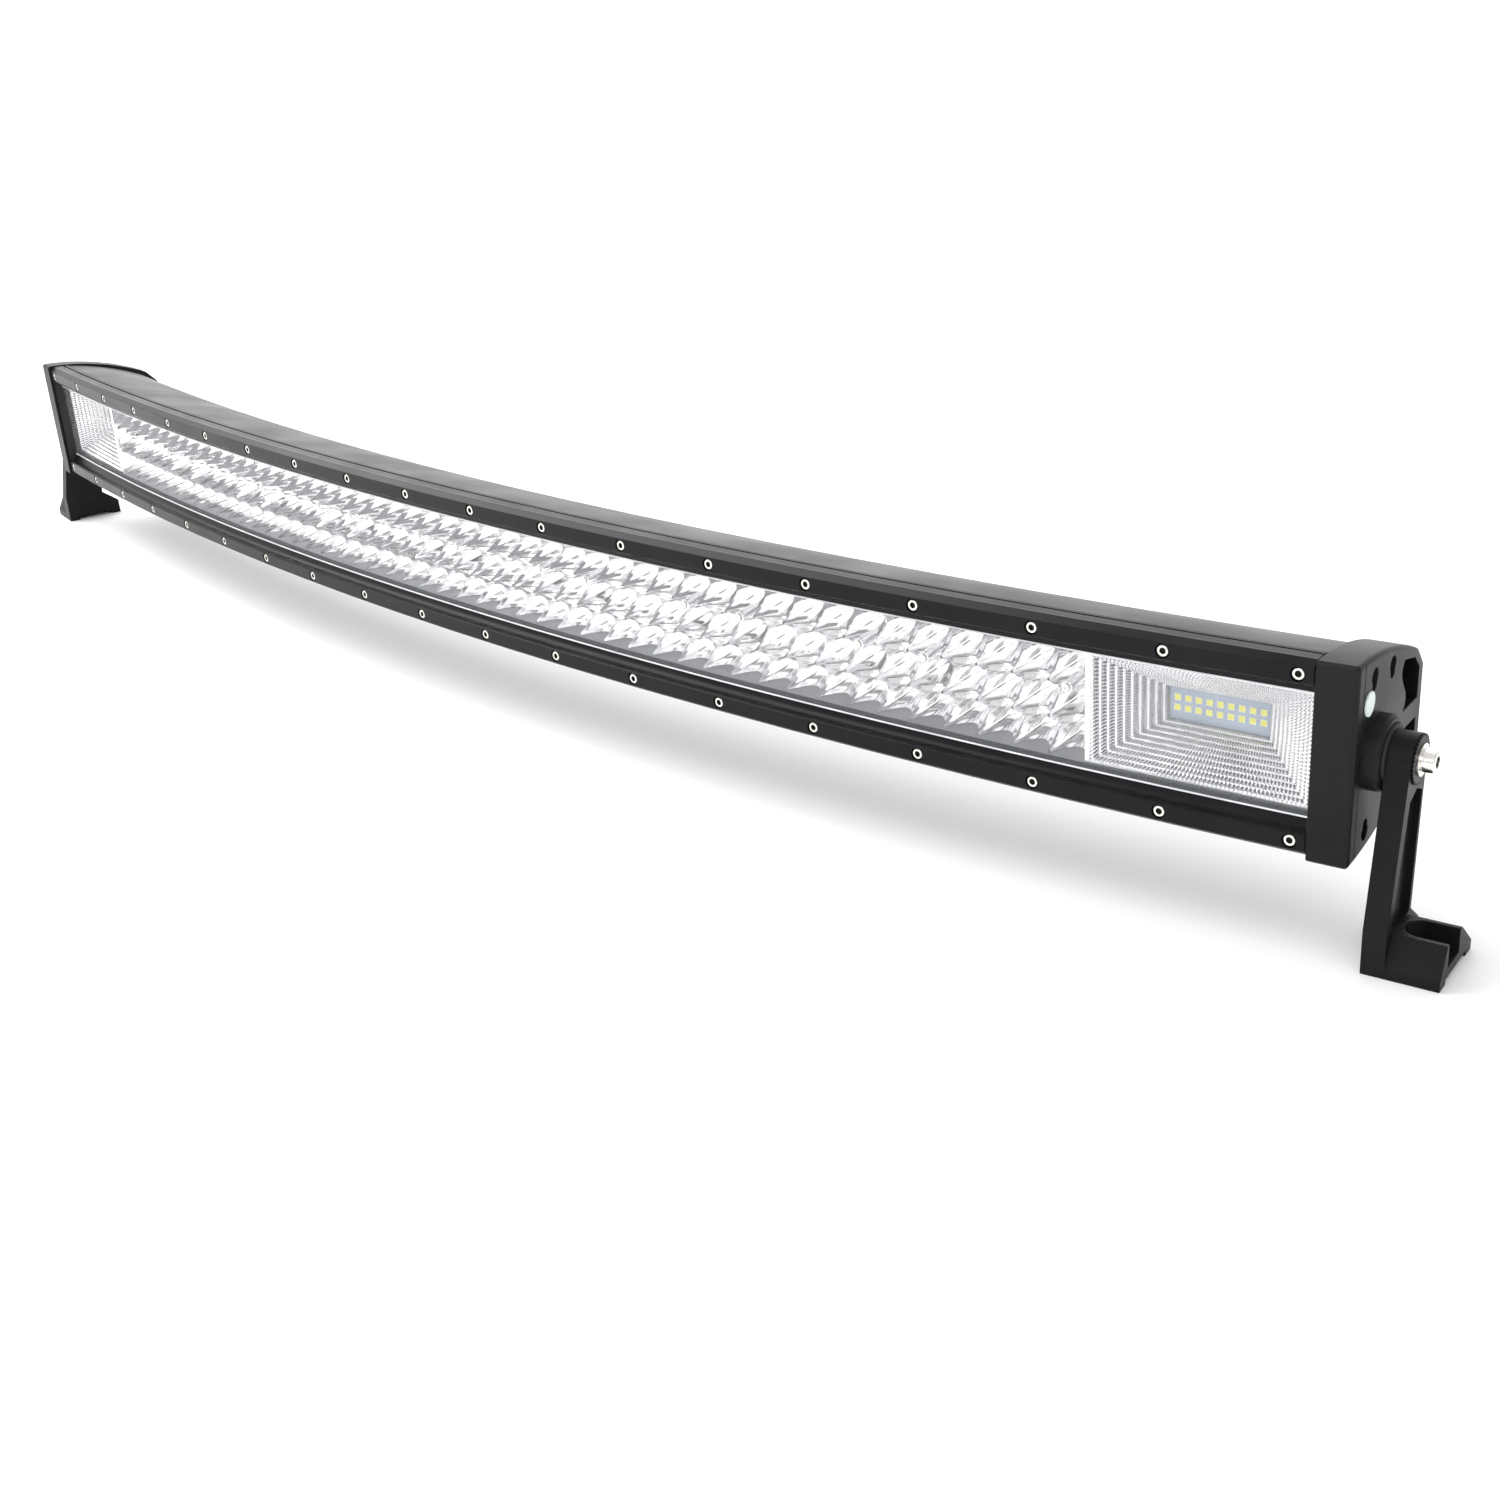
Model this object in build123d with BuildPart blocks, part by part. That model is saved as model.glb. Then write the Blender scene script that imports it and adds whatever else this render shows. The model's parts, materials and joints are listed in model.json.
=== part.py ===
"""Curved LED light bar on two pivoting feet, in millimetres.

Frame: +Z up, the lamp shines towards -Y, +X to the right seen from behind the lamp.
The origin is midway between the two foot bolts, on the plane that the feet stand on.

The bar is bent to an arc about a vertical axis behind it. Its sections are drawn as
(depth, height): depth runs backwards from the screw face of the trim strips, height
from the mid-plane of the lamp. What sits outside an end cap adds a third size, reach,
measured outwards from the cap's outer face.
"""
from build123d import *
from math import atan, cos, degrees, radians, sin
import os

# ---- driving dimensions -------------------------------------------------------------
ARC_RADIUS = 3385.0  # screw face of the trims to the bend axis
HALF_ANGLE = 10.0  # outer face of each end cap, degrees from the middle
CAP_ANGLE = 0.30  # width of an end cap, degrees
GASKET_ANGLE = 0.02  # thickness of a cap gasket, degrees
MID_HEIGHT = 90.0  # lamp mid-plane above the feet

SCREW_ROW_HALF = 37.5  # trim screws above and below the mid-plane
SCREWS_PER_ROW = 19
SCREW_STEP = 1.07  # degrees between trim screws
END_SCREW_SHIFT = 0.066  # the outermost screws sit this much closer in, degrees

LENS_FRONT = 7.0
LENS_THICKNESS = 3.0
LENS_HALF_HEIGHT = 33.0
SEAT_DEPTH = 12.0  # housing ledge that the lens gasket rests on
MOUTH_HALF = 29.5  # half height of the opening behind the lens
SHELF_FRONT = 37.6  # heat-sink shelf that carries the LED boards
BOARD_THICKNESS = 1.6
BOARD_FRONT = SHELF_FRONT - BOARD_THICKNESS

CUP_PITCH_X = 19.3
CUP_PITCH_Z = 17.9
CUPS_PER_ROW = 6
CUP_ROWS = 3
SPOT_MODULES = 8
MODULE_WIDTH = CUP_PITCH_X * CUPS_PER_ROW
MODULE_GAP = 1.8
REFLECTOR_FRONT = 11.0
REFLECTOR_HALF_HEIGHT = 27.3

FLOOD_WIDTH = 107.0
FLOOD_MARGIN = 1.0  # between a flood module and the end of the body
FLOOD_STEPS = 6
FLOOD_WINDOW = (47.0, 15.5)
FLOOD_LED_COLUMNS = 9
FLOOD_LED_PITCH = (5.05, 4.9)
LED_SIZE = 3.0
LED_THICKNESS = 0.8

PIVOT_DEPTH = 22.0
PIVOT_HEIGHT = 0.5
BOSS_RADIUS = 16.5
BOSS_REACH = 7.6
RING_REACH = 8.6  # outer face of the rubber friction ring
HUB_RADIUS = 11.0
HUB_REACH = 18.8
BOLT_RADIUS = 3.0
RUNNING_FIT = 0.05
FACE_GAP = 0.05

FOOT_FRONT = -3.0
FOOT_BACK = 39.5
FOOT_OUTER = 41.6
FOOT_HEIGHT = 18.2
FOOT_TOP_FRONT = 4.0  # depth of the top face's front edge
FOOT_TOP_BACK = 23.5
SOLE_HEIGHT = 4.5  # upright band round the bottom of the foot
FOOT_BOLT_DEPTH = 13.75
FOOT_BOLT_REACH = 29.5
FOOT_BOLT_RADIUS = 4.3
FLANGE = 2.6  # thickness of the arm's front and back flanges
CHANNEL_DEPTH = 3.2  # of the arm's channel, from its outer face

# ---- derived places -----------------------------------------------------------------
FOOT_BASE = -MID_HEIGHT
END = radians(HALF_ANGLE)
BEND_Y = (ARC_RADIUS - FOOT_BOLT_DEPTH) * cos(END) - FOOT_BOLT_REACH * sin(END)
BEND_AXIS = Axis((0, BEND_Y, 0), (0, 0, 1))
CAP_INNER = HALF_ANGLE - CAP_ANGLE
BODY_ANGLE = CAP_INNER - GASKET_ANGLE
MM_TO_DEGREES = degrees(1 / ARC_RADIUS)
FLOOD_CENTRE = BODY_ANGLE - (FLOOD_WIDTH / 2 + FLOOD_MARGIN) * MM_TO_DEGREES
CAP_SCREWS = [(17.5, 35.0), (40.0, 32.5), (17.5, -35.0), (40.0, -32.5)]

os.makedirs("parts", exist_ok=True)


def section(angle, reach=0.0):
    """Plane across the bar: x runs back from the screw face, y up, z towards the end."""
    turn = radians(angle)
    along = Vector(cos(turn), sin(turn), 0)
    origin = Vector(ARC_RADIUS * sin(turn), BEND_Y - ARC_RADIUS * cos(turn), MID_HEIGHT)
    return Plane(origin + along * reach, x_dir=(-sin(turn), cos(turn), 0), z_dir=along)


def front(angle, depth=0.0):
    """Plane facing the light: x runs along the bar, y up, z towards the front."""
    turn = radians(angle)
    radius = ARC_RADIUS - depth
    origin = (radius * sin(turn), BEND_Y - radius * cos(turn), MID_HEIGHT)
    return Plane(origin, x_dir=(cos(turn), sin(turn), 0), z_dir=(sin(turn), -cos(turn), 0))


def back(angle, depth):
    """Plane facing backwards: x runs along the bar, y down, z away from the light."""
    face = front(angle, depth)
    return Plane(face.origin, x_dir=face.x_dir, z_dir=-face.z_dir)


def finish(builder, name):
    """Label a finished piece and write its STEP file."""
    builder.part.label = name
    export_step(builder.part, f"parts/{name}.step")


def mirrored(points):
    """Upper half outline followed by its reflection below the mid-plane."""
    return points + [(depth, -height) for depth, height in reversed(points)]


def screw_angles():
    """Angles of one row of trim screws, with the outermost ones pulled in."""
    half = SCREWS_PER_ROW // 2
    for index in range(-half, half + 1):
        pull = END_SCREW_SHIFT if abs(index) == half else 0.0
        yield index * SCREW_STEP - (pull if index > 0 else -pull)


def module_angle(index):
    """Centre of a spot reflector module, counted from 0 at the left."""
    offset = (index - (SPOT_MODULES - 1) / 2) * MODULE_WIDTH
    return offset * MM_TO_DEGREES


# ---- housing ------------------------------------------------------------------------
CROWN = [(14.8, 43.2), (42.0, 37.6), (70.0, 27.0)]  # smooth top behind the groove pair
FIN_TIP = 80.0
FIN_ROOT = 71.0
FIN_COUNT = 5
FIN_THICKNESS = 2.4
FIN_PITCH = 9.0
CHANNEL_RADIUS = 4.0
CHANNEL_BORE = 2.15
GLAND_ANGLE = -5.0
GLAND_BORE = 6.0
GLAND_POCKET = 12.5

with BuildPart() as housing:
    with BuildSketch(section(-BODY_ANGLE)):
        with BuildLine():
            Polyline((42, 0), (5, 0), (5, 44), (9.6, 44), (9.6, 41.2), (11.6, 41.2),
                     (11.6, 43.7), (13.8, 43.7), (13.8, 42.4), (14.8, 42.4), CROWN[0])
            ThreePointArc(*CROWN)
            Polyline(CROWN[-1], (FIN_ROOT, 25.5), (FIN_ROOT, 0), (42, 0))
        make_face()
        mirror(about=Plane.XZ)
        with Locations(((FIN_TIP + FIN_ROOT) / 2 - 0.5, 0)):
            with GridLocations(1, FIN_PITCH, 1, FIN_COUNT):
                Rectangle(FIN_TIP - FIN_ROOT + 1, FIN_THICKNESS)
        # open front: lens recess, mouth and reflector cavity
        with BuildLine():
            Polyline(*mirrored([(5, 33.4), (SEAT_DEPTH, 33.4), (SEAT_DEPTH, MOUTH_HALF),
                                (14.6, MOUTH_HALF), (14.6, 38.4), (SHELF_FRONT, 35.2)]), close=True)
        make_face(mode=Mode.SUBTRACT)
        # closed driver channel behind the shelf
        with BuildLine():
            Polyline(*mirrored([(SHELF_FRONT + 3.6, 33.6), (66, 24.5), (68, 18)]), close=True)
        make_face(mode=Mode.SUBTRACT)
        with Locations(*CAP_SCREWS):
            Circle(CHANNEL_RADIUS)
            Circle(CHANNEL_BORE, mode=Mode.SUBTRACT)
    revolve(axis=BEND_AXIS, revolution_arc=2 * BODY_ANGLE)
    # blind holes for the trim screws
    for row in (-SCREW_ROW_HALF, SCREW_ROW_HALF):
        for angle in screw_angles():
            with BuildSketch(front(angle, 5.0)):
                with Locations((0, row)):
                    Circle(1.5)
            extrude(amount=-8, mode=Mode.SUBTRACT)
    # seat and hole for the cable gland
    with BuildSketch(back(GLAND_ANGLE, FIN_ROOT)):
        Circle(GLAND_POCKET)
    extrude(amount=FIN_TIP - FIN_ROOT + 1, mode=Mode.SUBTRACT)
    with BuildSketch(back(GLAND_ANGLE, 60)):
        Circle(GLAND_BORE)
    extrude(amount=15, mode=Mode.SUBTRACT)
finish(housing, "housing")

# ---- lens and its gasket ------------------------------------------------------------
with BuildPart() as lens:
    with BuildSketch(section(-BODY_ANGLE)):
        with Locations((LENS_FRONT + LENS_THICKNESS / 2, 0)):
            RectangleRounded(LENS_THICKNESS, 2 * LENS_HALF_HEIGHT, 0.5)
    revolve(axis=BEND_AXIS, revolution_arc=2 * BODY_ANGLE)
finish(lens, "lens")

GASKET_BAND = LENS_HALF_HEIGHT - MOUTH_HALF
GASKET_FRONT = LENS_FRONT + LENS_THICKNESS

with BuildPart() as lens_gasket:
    with BuildSketch(section(-BODY_ANGLE)):
        with GridLocations(1, 2 * (MOUTH_HALF + GASKET_BAND / 2), 1, 2):
            with Locations(((GASKET_FRONT + SEAT_DEPTH) / 2, 0)):
                Rectangle(SEAT_DEPTH - GASKET_FRONT, GASKET_BAND)
    revolve(axis=BEND_AXIS, revolution_arc=2 * BODY_ANGLE)
finish(lens_gasket, "lens_gasket")

# ---- trim strips: screw face, concave inner slope down to the lens ------------------
SCREW_HOLE = 1.7
COUNTERBORE = 3.3
COUNTERBORE_DEPTH = 2.4


def trim_strip(side):
    """Trim above (side 1) or below (side -1) the lens, with its counterbored holes."""
    with BuildPart() as strip:
        with BuildSketch(section(-BODY_ANGLE)):
            with BuildLine():
                Polyline((0.7, side * 33.2), (0, side * 34), (0, side * 41.4), (3.6, side * 44),
                         (4.9, side * 44), (4.9, side * 33.2), (LENS_FRONT, side * 33.2),
                         (LENS_FRONT, side * 28.2), (6.3, side * 28.2))
                ThreePointArc((6.3, side * 28.2), (4.2, side * 31.9), (0.7, side * 33.2))
            make_face()
        revolve(axis=BEND_AXIS, revolution_arc=2 * BODY_ANGLE)
        for angle in screw_angles():
            with BuildSketch(front(angle)):
                with Locations((0, side * SCREW_ROW_HALF)):
                    Circle(SCREW_HOLE)
            extrude(amount=-6, mode=Mode.SUBTRACT)
            with BuildSketch(front(angle)):
                with Locations((0, side * SCREW_ROW_HALF)):
                    Circle(COUNTERBORE)
            extrude(amount=-COUNTERBORE_DEPTH, mode=Mode.SUBTRACT)
    return strip


def socket_screw(plane, head_radius, head, shank_radius, shank, socket):
    """Socket-head screw: its head's top lies on the plane and it points backwards."""
    with BuildPart() as screw:
        with BuildSketch(plane):
            Circle(head_radius)
        extrude(amount=-head)
        rim = screw.faces().sort_by(Axis(plane.origin, plane.z_dir))[-1].edges()
        chamfer(rim, length=head_radius * 0.12)
        with BuildSketch(plane.offset(-head)):
            Circle(shank_radius)
        extrude(amount=-shank)
        with BuildSketch(plane):
            RegularPolygon(socket, 6)
        extrude(amount=-head * 0.6, mode=Mode.SUBTRACT)
    return screw.part


for side, name in ((1, "top"), (-1, "bottom")):
    finish(trim_strip(side), f"{name}_trim_strip")
    with BuildPart() as trim_screws:
        for angle in screw_angles():
            face = front(angle, 0.2)
            seat = Plane(face.from_local_coords((0, side * SCREW_ROW_HALF, 0)), face.x_dir, face.z_dir)
            add(socket_screw(seat, 2.85, COUNTERBORE_DEPTH - 0.2, 1.45, 8.0, 1.35))
    finish(trim_screws, f"{name}_trim_screws")

# ---- spot reflector modules, their boards, LEDs and screws --------------------------
CUP_MOUTH = 8.7
CUP_THROAT = 3.4
CUP_DEPTH = BOARD_FRONT - REFLECTOR_FRONT
CUP_TAPER = degrees(atan((CUP_MOUTH - CUP_THROAT) / CUP_DEPTH))
MODULE_SCREWS = [(-1.5 * CUP_PITCH_X, 7.2), (2.5 * CUP_PITCH_X, 7.2)]
POST_RADIUS = 3.0
POST_TOP = 12.4  # depth of the screw seats
SCREW_HEAD = 1.2

for index in range(SPOT_MODULES):
    angle = module_angle(index)
    with BuildPart() as spot_reflector:
        with BuildSketch(front(angle, BOARD_FRONT)):
            Rectangle(MODULE_WIDTH - MODULE_GAP, 2 * REFLECTOR_HALF_HEIGHT)
        extrude(amount=CUP_DEPTH)
        with BuildSketch(front(angle, REFLECTOR_FRONT)):
            with GridLocations(CUP_PITCH_X, CUP_PITCH_Z, CUPS_PER_ROW, CUP_ROWS):
                Circle(CUP_MOUTH)
        extrude(amount=-CUP_DEPTH, taper=CUP_TAPER, mode=Mode.SUBTRACT)
        # screw posts between the top and middle rows
        with BuildSketch(front(angle, REFLECTOR_FRONT)):
            with Locations(*MODULE_SCREWS):
                Circle(POST_RADIUS)
        extrude(amount=REFLECTOR_FRONT - POST_TOP, mode=Mode.SUBTRACT)
        with BuildSketch(front(angle, BOARD_FRONT)):
            with Locations(*MODULE_SCREWS):
                Circle(POST_RADIUS)
        extrude(amount=BOARD_FRONT - POST_TOP)
        with BuildSketch(front(angle, REFLECTOR_FRONT)):
            with Locations(*MODULE_SCREWS):
                Circle(1.1)
        extrude(amount=-CUP_DEPTH, mode=Mode.SUBTRACT)
    finish(spot_reflector, f"spot_reflector_{index + 1}")

with BuildPart() as spot_boards:
    for index in range(SPOT_MODULES):
        with BuildSketch(front(module_angle(index), SHELF_FRONT)):
            Rectangle(MODULE_WIDTH - MODULE_GAP, 2 * REFLECTOR_HALF_HEIGHT)
        extrude(amount=BOARD_THICKNESS - 0.3)
finish(spot_boards, "spot_boards")

with BuildPart() as spot_leds:
    for index in range(SPOT_MODULES):
        with BuildSketch(front(module_angle(index), BOARD_FRONT + 0.3)):
            with GridLocations(CUP_PITCH_X, CUP_PITCH_Z, CUPS_PER_ROW, CUP_ROWS):
                Rectangle(LED_SIZE, LED_SIZE)
        extrude(amount=LED_THICKNESS)
finish(spot_leds, "spot_leds")

with BuildPart() as reflector_screws:
    for index in range(SPOT_MODULES):
        for along, up in MODULE_SCREWS:
            face = front(module_angle(index), POST_TOP - SCREW_HEAD)
            seat = Plane(face.from_local_coords((along, up, 0)), face.x_dir, face.z_dir)
            add(socket_screw(seat, 1.9, SCREW_HEAD, 1.0, BOARD_FRONT - POST_TOP - 0.5, 0.9))
finish(reflector_screws, "reflector_screws")

# ---- driver electronics inside the rear channel -------------------------------------
DRIVER_FRONT = 46.0
DRIVER_MODULES = 3
DRIVER_STEP = 3.6  # degrees

with BuildPart() as driver_boards:
    for index in range(DRIVER_MODULES):
        with BuildSketch(back((index - 1) * DRIVER_STEP, DRIVER_FRONT)):
            Rectangle(120, 40)
        extrude(amount=BOARD_THICKNESS)
finish(driver_boards, "driver_boards")

with BuildPart() as driver_parts:
    for index in range(DRIVER_MODULES):
        with BuildSketch(back((index - 1) * DRIVER_STEP, DRIVER_FRONT + BOARD_THICKNESS)):
            with GridLocations(28, 20, 4, 2):
                Circle(5)
        extrude(amount=11)
        with BuildSketch(back((index - 1) * DRIVER_STEP, DRIVER_FRONT + BOARD_THICKNESS)):
            with GridLocations(28, 1, 3, 1):
                Rectangle(13, 13)
        extrude(amount=8)
finish(driver_parts, "driver_parts")

with BuildPart() as wiring_harness:
    with BuildSketch(section(-0.9 * BODY_ANGLE)):
        with Locations((50, -26), (53.5, -25)):
            Circle(1.2)
    revolve(axis=BEND_AXIS, revolution_arc=1.8 * BODY_ANGLE)
finish(wiring_harness, "wiring_harness")

# ---- cable gland on the back --------------------------------------------------------
CABLE_RADIUS = 3.2

with BuildPart() as gland_body:
    with BuildSketch(back(GLAND_ANGLE, FIN_ROOT)):
        RegularPolygon(9.5, 6)
    extrude(amount=5)
    with BuildSketch(back(GLAND_ANGLE, FIN_ROOT + 5)):
        Circle(7.2)
    extrude(amount=8)
    with BuildSketch(back(GLAND_ANGLE, FIN_ROOT)):
        Circle(GLAND_BORE - 0.1)
    extrude(amount=-7)
    with BuildSketch(back(GLAND_ANGLE, FIN_ROOT - 7)):
        Circle(4.6)
    extrude(amount=20, mode=Mode.SUBTRACT)
finish(gland_body, "gland_body")

with BuildPart() as gland_seal:
    with BuildSketch(back(GLAND_ANGLE, FIN_ROOT + 1)):
        Circle(4.5)
        Circle(CABLE_RADIUS, mode=Mode.SUBTRACT)
    extrude(amount=15)
finish(gland_seal, "gland_seal")

with BuildPart() as gland_nut:
    with BuildSketch(back(GLAND_ANGLE, FIN_ROOT + 5.5)):
        RegularPolygon(10, 6)
    extrude(amount=9)
    with BuildSketch(back(GLAND_ANGLE, FIN_ROOT + 14.5)):
        Circle(8.4)
    extrude(amount=4, taper=25)
    with BuildSketch(back(GLAND_ANGLE, FIN_ROOT + 5.5)):
        Circle(7.3)
    extrude(amount=9, mode=Mode.SUBTRACT)
    with BuildSketch(back(GLAND_ANGLE, FIN_ROOT + 5.5)):
        Circle(4.6)
    extrude(amount=14, mode=Mode.SUBTRACT)
finish(gland_nut, "gland_nut")

# ---- right end: everything here has a mirror image on the left ----------------------
CAP_CROWN = [(0.0, 45.0), (42.0, 39.6), (76.0, 27.6)]
CAP_FRONT = -1.6
CAP_BACK = 84.0
CAP_DEPTH = ARC_RADIUS * radians(CAP_ANGLE)
OUTER = section(HALF_ANGLE)
KEYHOLE_DROP = 3.4
DISH_RADIUS = 13.4  # shallow recess in the boss's face for the friction ring

with BuildPart() as right_end_cap:
    with BuildSketch(section(CAP_INNER)):
        with BuildLine():
            Polyline((30, 0), (CAP_FRONT, 0), (CAP_FRONT, 43.6), CAP_CROWN[0])
            ThreePointArc(*CAP_CROWN)
            Polyline(CAP_CROWN[-1], (CAP_BACK, 19.0), (CAP_BACK, 0), (30, 0))
        make_face()
        mirror(about=Plane.XZ)
    revolve(axis=BEND_AXIS, revolution_arc=CAP_ANGLE)
    # rounded outer rim
    outer_rim = right_end_cap.faces().sort_by(Axis(OUTER.origin, OUTER.z_dir))[-1].edges()
    fillet(outer_rim, radius=2.2)
    # hollow behind the outer wall, leaving a post for the pivot bolt
    with BuildSketch(section(HALF_ANGLE, -CAP_DEPTH - 0.4)):
        with BuildLine():
            Polyline(*mirrored([(12, 27), (50, 24), (70, 16)]), close=True)
        make_face()
        with Locations((PIVOT_DEPTH, PIVOT_HEIGHT)):
            Circle(12, mode=Mode.SUBTRACT)
    extrude(amount=12.4, mode=Mode.SUBTRACT)
    # seam line behind the front plate
    with BuildSketch(section(HALF_ANGLE, -0.5)):
        with Locations((5.5, 0)):
            Rectangle(0.7, 100)
    extrude(amount=2, mode=Mode.SUBTRACT)
    # pivot boss with a shallow dished face
    with BuildSketch(OUTER):
        with Locations((PIVOT_DEPTH, PIVOT_HEIGHT)):
            Circle(BOSS_RADIUS)
    extrude(amount=BOSS_REACH)
    boss_rim = right_end_cap.faces().sort_by(Axis(OUTER.origin, OUTER.z_dir))[-1].edges()
    fillet(boss_rim, radius=2.0)
    with BuildSketch(section(HALF_ANGLE, BOSS_REACH - 1.5)):
        with Locations((PIVOT_DEPTH, PIVOT_HEIGHT)):
            Circle(DISH_RADIUS)
    extrude(amount=2, mode=Mode.SUBTRACT)
    # two-lobed pockets over the cap screws, and the screws' holes
    with BuildSketch(section(HALF_ANGLE, -5)):
        for depth, height in CAP_SCREWS:
            with Locations((depth, height)):
                Circle(3.8)
            with Locations((depth, height - KEYHOLE_DROP * (1 if height > 0 else -1))):
                Circle(2.8)
    extrude(amount=8, mode=Mode.SUBTRACT)
    with BuildSketch(section(HALF_ANGLE, 5)):
        with Locations(*CAP_SCREWS):
            Circle(2.15)
    extrude(amount=-30, mode=Mode.SUBTRACT)
    # curved weight-saving recesses near the back edge, above and below
    for side in (1, -1):
        with BuildSketch(section(HALF_ANGLE, -9)):
            with BuildLine():
                Spline((56, side * 29), (53.5, side * 22), (60, side * 12), (57.5, side * 4.5))
                Polyline((57.5, side * 4.5), (77, side * 4.5), (77, side * 19), (70, side * 25.5),
                         (56, side * 29))
            make_face()
        extrude(amount=12, mode=Mode.SUBTRACT)
    # bolt hole through the boss and its post
    with BuildSketch(section(HALF_ANGLE, BOSS_REACH)):
        with Locations((PIVOT_DEPTH, PIVOT_HEIGHT)):
            Circle(BOLT_RADIUS + RUNNING_FIT)
    extrude(amount=-24, mode=Mode.SUBTRACT)

VENT = (12.0, 25.0)

with BuildPart() as breather_vent:
    with BuildSketch(OUTER):
        with Locations(VENT):
            Circle(5.3)
    extrude(amount=0.7)
finish(breather_vent, "breather_vent")

with BuildPart() as right_cap_gasket:
    with BuildSketch(section(BODY_ANGLE)):
        with BuildLine():
            Polyline(*mirrored([(1.0, 40.5), (11, 41.5), (42, 36.8), (70, 25.5)]), close=True)
        make_face()
        with BuildLine():
            Polyline(*mirrored([(16, 27), (52, 22), (64, 16)]), close=True)
        make_face(mode=Mode.SUBTRACT)
        with Locations(*CAP_SCREWS):
            Circle(2.3, mode=Mode.SUBTRACT)
    revolve(axis=BEND_AXIS, revolution_arc=GASKET_ANGLE)

with BuildPart() as right_cap_screws:
    for depth, height in CAP_SCREWS:
        seat_plane = section(HALF_ANGLE, -2.0)
        seat = Plane(seat_plane.from_local_coords((depth, height, 0)), seat_plane.x_dir, seat_plane.z_dir)
        add(socket_screw(seat, 3.5, 3.0, 2.0, 26, 1.7))

with BuildPart() as right_friction_ring:
    with BuildSketch(section(HALF_ANGLE, BOSS_REACH - 1.5)):
        with Locations((PIVOT_DEPTH, PIVOT_HEIGHT)):
            Circle(DISH_RADIUS - 0.4)
            Circle(BOLT_RADIUS + 0.2, mode=Mode.SUBTRACT)
    extrude(amount=RING_REACH - BOSS_REACH + 1.5 - FACE_GAP)

TOOTH_COUNT = 36
TOOTHED_WASHER = 0.8  # thickness
FLAT_WASHER = 1.0

with BuildPart() as right_toothed_washer:
    with BuildSketch(section(HALF_ANGLE, HUB_REACH + FACE_GAP)):
        with Locations((PIVOT_DEPTH, PIVOT_HEIGHT)):
            Circle(10.0)
            with PolarLocations(10.1, TOOTH_COUNT):
                Rectangle(1.4, 0.9)
            Circle(BOLT_RADIUS + 0.2, mode=Mode.SUBTRACT)
    extrude(amount=TOOTHED_WASHER)

WASHER_START = HUB_REACH + FACE_GAP + TOOTHED_WASHER
WASHER_END = WASHER_START + FLAT_WASHER

with BuildPart() as right_flat_washer:
    with BuildSketch(section(HALF_ANGLE, WASHER_START)):
        with Locations((PIVOT_DEPTH, PIVOT_HEIGHT)):
            Circle(7.0)
            Circle(BOLT_RADIUS + 0.2, mode=Mode.SUBTRACT)
    extrude(amount=FLAT_WASHER)

BOLT_HEAD = 5.6
BOLT_LENGTH = 32.0

with BuildPart() as right_pivot_bolt:
    head_plane = section(HALF_ANGLE, WASHER_END + BOLT_HEAD)
    seat = Plane(head_plane.from_local_coords((PIVOT_DEPTH, PIVOT_HEIGHT, 0)),
                 head_plane.x_dir, head_plane.z_dir)
    add(socket_screw(seat, 5.0, BOLT_HEAD, BOLT_RADIUS, BOLT_LENGTH, 2.9))

# ---- right bracket: serrated hub, channel arm leaning forward, foot with bolt pocket ---
FOOT_TOP = FOOT_BASE + FOOT_HEIGHT
POCKET_HALF = 7.6
POCKET_FLOOR = FOOT_BASE + 7.0
POCKET_ROUND = 28.5  # reach of the centre of the pocket's round end
ARCH_HEIGHT = 2.5
SOLE_RAIL = 7.5  # depth of the front and back rails that the foot stands on
BOLT_PAD = 8.5  # radius of the pad round the bolt hole


def foot_plan(height):
    """Plane at a height, x outwards from the cap and y backwards from the screw face."""
    face = section(HALF_ANGLE)
    origin = face.from_local_coords((0, height, 0))
    return Plane(origin, x_dir=face.z_dir, z_dir=(0, 0, 1))


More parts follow.
